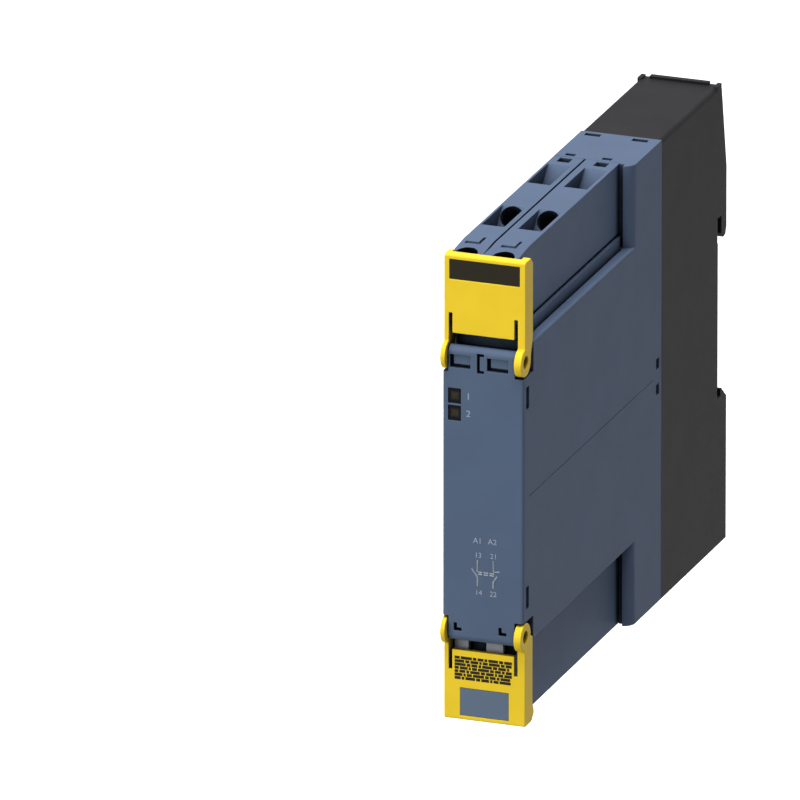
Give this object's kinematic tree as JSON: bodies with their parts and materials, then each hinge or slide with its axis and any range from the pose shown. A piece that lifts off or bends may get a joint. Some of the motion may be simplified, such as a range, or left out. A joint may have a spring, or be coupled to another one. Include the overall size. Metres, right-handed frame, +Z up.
{
  "type": "slim interface relay",
  "caption": "Slim interface relay in a narrow housing for a 35 mm rail, with pull-off terminal blocks and hinged yellow covers.",
  "frame": {"origin": "on the rail seat, at the middle of the rail's height and of the unit's width", "axes": "+X to the right as seen from the front, +Y to the rear towards the rail, +Z up"},
  "size_m": [0.0176, 0.1246, 0.1006],
  "materials": {
    "black_housing": "fine textured moulded plastic",
    "grey_blue_housing": "fine textured moulded plastic",
    "yellow_cover": "smooth moulded plastic",
    "dark_label": "printed plate",
    "grey_label": "printed plate",
    "light_tab": "moulded plastic",
    "window": "smoked plastic light guide",
    "lamp": "clear lamp body",
    "zinc_steel": "zinc plated",
    "spring_steel": "spring wire",
    "plated_strip": "tinned brass",
    "header_plastic": "moulded plastic",
    "board": "glass fibre board with solder mask",
    "can": "drawn can",
    "chip_plastic": "moulded plastic",
    "disc_coating": "dipped coating",
    "relay_plastic": "moulded plastic",
    "copper_wire": "enamelled copper",
    "soft_iron": "nickel plated iron",
    "contact_metal": "contact alloy"
  },
  "bodies": {
    "housing": {"rear_housing": "black_housing", "front_housing": "grey_blue_housing", "front_panel": "grey_blue_housing", "light_guide_1": "window", "light_guide_2": "window", "lamp_1": "lamp", "lamp_2": "lamp", "upper_header": "header_plastic", "lower_header": "header_plastic", "circuit_board": "board", "capacitor": "can", "rectifier": "chip_plastic", "suppressor": "disc_coating", "relay_base": "relay_plastic", "relay_case": "relay_plastic", "coil_bobbin": "header_plastic", "coil_winding": "copper_wire", "core": "soft_iron", "yoke": "soft_iron", "fixed_contacts": "contact_metal", "rail_spring": "spring_steel"},
    "upper_cover": {"upper_cover": "yellow_cover", "upper_label": "dark_label"},
    "lower_cover": {"lower_cover": "yellow_cover", "lower_label": "grey_label"},
    "upper_block": {"upper_terminal_block": "grey_blue_housing", "upper_contact_strips": "plated_strip", "upper_release_tabs": "light_tab"},
    "lower_block": {"lower_terminal_block": "grey_blue_housing", "lower_contact_strips": "plated_strip", "lower_release_tabs": "light_tab"},
    "rail_shoe": {"rail_shoe": "zinc_steel"},
    "armature": {"armature": "soft_iron"},
    "guide_card": {"guide_card": "relay_plastic"},
    "make_spring": {"make_spring": "contact_metal"},
    "break_spring": {"break_spring": "contact_metal"},
    "upper_screw_1": {"upper_screw_1": "zinc_steel"},
    "upper_clamp_1": {"upper_clamp_1": "zinc_steel"},
    "upper_screw_2": {"upper_screw_2": "zinc_steel"},
    "upper_clamp_2": {"upper_clamp_2": "zinc_steel"},
    "upper_screw_3": {"upper_screw_3": "zinc_steel"},
    "upper_clamp_3": {"upper_clamp_3": "zinc_steel"},
    "upper_screw_4": {"upper_screw_4": "zinc_steel"},
    "upper_clamp_4": {"upper_clamp_4": "zinc_steel"},
    "lower_screw_1": {"lower_screw_1": "zinc_steel"},
    "lower_clamp_1": {"lower_clamp_1": "zinc_steel"},
    "lower_screw_2": {"lower_screw_2": "zinc_steel"},
    "lower_clamp_2": {"lower_clamp_2": "zinc_steel"},
    "lower_screw_3": {"lower_screw_3": "zinc_steel"},
    "lower_clamp_3": {"lower_clamp_3": "zinc_steel"},
    "lower_screw_4": {"lower_screw_4": "zinc_steel"},
    "lower_clamp_4": {"lower_clamp_4": "zinc_steel"}
  },
  "joints": [
    {"name": "upper_cover_hinge", "type": "hinge", "parent": "housing", "child": "upper_cover", "pos_m": [0, -0.1162, 0.02891], "axis": [1, 0, 0], "range_deg": [0, 110]},
    {"name": "lower_cover_hinge", "type": "hinge", "parent": "housing", "child": "lower_cover", "pos_m": [0, -0.1162, -0.03041], "axis": [-1, 0, 0], "range_deg": [0, 110]},
    {"name": "upper_block_pull", "type": "slide", "parent": "housing", "child": "upper_block", "axis": [0, 0, 1], "range_m": [0, 0.024]},
    {"name": "lower_block_pull", "type": "slide", "parent": "housing", "child": "lower_block", "axis": [0, 0, -1], "range_m": [0, 0.024]},
    {"name": "rail_shoe_slide", "type": "slide", "parent": "housing", "child": "rail_shoe", "axis": [0, 0, 1], "range_m": [0, 0.0035], "stiffness_N_per_m": 300, "springref_m": -0.01, "deforming": ["rail_spring"]},
    {"name": "armature_hinge", "type": "hinge", "parent": "housing", "child": "armature", "pos_m": [0.00005, -0.0424, -0.004], "axis": [-1, 0, 0], "range_deg": [0, 4.4]},
    {"name": "guide_card_slide", "type": "slide", "parent": "housing", "child": "guide_card", "axis": [0, 1, 0], "range_m": [0, 0.00082], "stiffness_N_per_m": 160, "springref_m": -0.0022},
    {"name": "make_spring_bend", "type": "hinge", "parent": "housing", "child": "make_spring", "pos_m": [-0.00299, -0.0182, 0], "axis": [0, 0, 1], "range_deg": [0, 6.7]},
    {"name": "break_spring_bend", "type": "hinge", "parent": "housing", "child": "break_spring", "pos_m": [-0.00299, -0.0127, 0], "axis": [0, 0, 1], "range_deg": [0, 6.7]},
    {"name": "upper_clamp_1_slide", "type": "slide", "parent": "upper_block", "child": "upper_clamp_1", "axis": [0, -0.7071, 0.7071], "range_m": [0, 0.002]},
    {"name": "upper_screw_1_turn", "type": "hinge", "parent": "upper_block", "child": "upper_screw_1", "pos_m": [-0.00575, -0.10125, 0.03835], "axis": [0, 0.7071, -0.7071], "range_deg": [0, 1441]},
    {"name": "upper_clamp_2_slide", "type": "slide", "parent": "upper_block", "child": "upper_clamp_2", "axis": [0, -0.7071, 0.7071], "range_m": [0, 0.002]},
    {"name": "upper_screw_2_turn", "type": "hinge", "parent": "upper_block", "child": "upper_screw_2", "pos_m": [-0.00575, -0.07445, 0.03775], "axis": [0, 0.7071, -0.7071], "range_deg": [0, 1441]},
    {"name": "upper_clamp_3_slide", "type": "slide", "parent": "upper_block", "child": "upper_clamp_3", "axis": [0, -0.7071, 0.7071], "range_m": [0, 0.002]},
    {"name": "upper_screw_3_turn", "type": "hinge", "parent": "upper_block", "child": "upper_screw_3", "pos_m": [0.0022, -0.10125, 0.03835], "axis": [0, 0.7071, -0.7071], "range_deg": [0, 1441]},
    {"name": "upper_clamp_4_slide", "type": "slide", "parent": "upper_block", "child": "upper_clamp_4", "axis": [0, -0.7071, 0.7071], "range_m": [0, 0.002]},
    {"name": "upper_screw_4_turn", "type": "hinge", "parent": "upper_block", "child": "upper_screw_4", "pos_m": [0.0022, -0.07445, 0.03775], "axis": [0, 0.7071, -0.7071], "range_deg": [0, 1441]},
    {"name": "lower_clamp_1_slide", "type": "slide", "parent": "lower_block", "child": "lower_clamp_1", "axis": [0, -0.7071, -0.7071], "range_m": [0, 0.002]},
    {"name": "lower_screw_1_turn", "type": "hinge", "parent": "lower_block", "child": "lower_screw_1", "pos_m": [-0.00575, -0.10125, -0.03835], "axis": [0, 0.7071, 0.7071], "range_deg": [0, 1441]},
    {"name": "lower_clamp_2_slide", "type": "slide", "parent": "lower_block", "child": "lower_clamp_2", "axis": [0, -0.7071, -0.7071], "range_m": [0, 0.002]},
    {"name": "lower_screw_2_turn", "type": "hinge", "parent": "lower_block", "child": "lower_screw_2", "pos_m": [-0.00575, -0.07445, -0.03775], "axis": [0, 0.7071, 0.7071], "range_deg": [0, 1441]},
    {"name": "lower_clamp_3_slide", "type": "slide", "parent": "lower_block", "child": "lower_clamp_3", "axis": [0, -0.7071, -0.7071], "range_m": [0, 0.002]},
    {"name": "lower_screw_3_turn", "type": "hinge", "parent": "lower_block", "child": "lower_screw_3", "pos_m": [0.0022, -0.10125, -0.03835], "axis": [0, 0.7071, 0.7071], "range_deg": [0, 1441]},
    {"name": "lower_clamp_4_slide", "type": "slide", "parent": "lower_block", "child": "lower_clamp_4", "axis": [0, -0.7071, -0.7071], "range_m": [0, 0.002]},
    {"name": "lower_screw_4_turn", "type": "hinge", "parent": "lower_block", "child": "lower_screw_4", "pos_m": [0.0022, -0.07445, -0.03775], "axis": [0, 0.7071, 0.7071], "range_deg": [0, 1441]}
  ],
  "couplings": [
    {"joint": "armature_hinge", "follows": "guide_card_slide", "rad_per_m": 89.286},
    {"joint": "make_spring_bend", "follows": "guide_card_slide", "rad_per_m": 129.2},
    {"joint": "break_spring_bend", "follows": "guide_card_slide", "rad_per_m": 129.2},
    {"joint": "upper_screw_1_turn", "follows": "upper_clamp_1_slide", "rad_per_m": 12566},
    {"joint": "upper_screw_2_turn", "follows": "upper_clamp_2_slide", "rad_per_m": 12566},
    {"joint": "upper_screw_3_turn", "follows": "upper_clamp_3_slide", "rad_per_m": 12566},
    {"joint": "upper_screw_4_turn", "follows": "upper_clamp_4_slide", "rad_per_m": 12566},
    {"joint": "lower_screw_1_turn", "follows": "lower_clamp_1_slide", "rad_per_m": 12566},
    {"joint": "lower_screw_2_turn", "follows": "lower_clamp_2_slide", "rad_per_m": 12566},
    {"joint": "lower_screw_3_turn", "follows": "lower_clamp_3_slide", "rad_per_m": 12566},
    {"joint": "lower_screw_4_turn", "follows": "lower_clamp_4_slide", "rad_per_m": 12566}
  ]
}
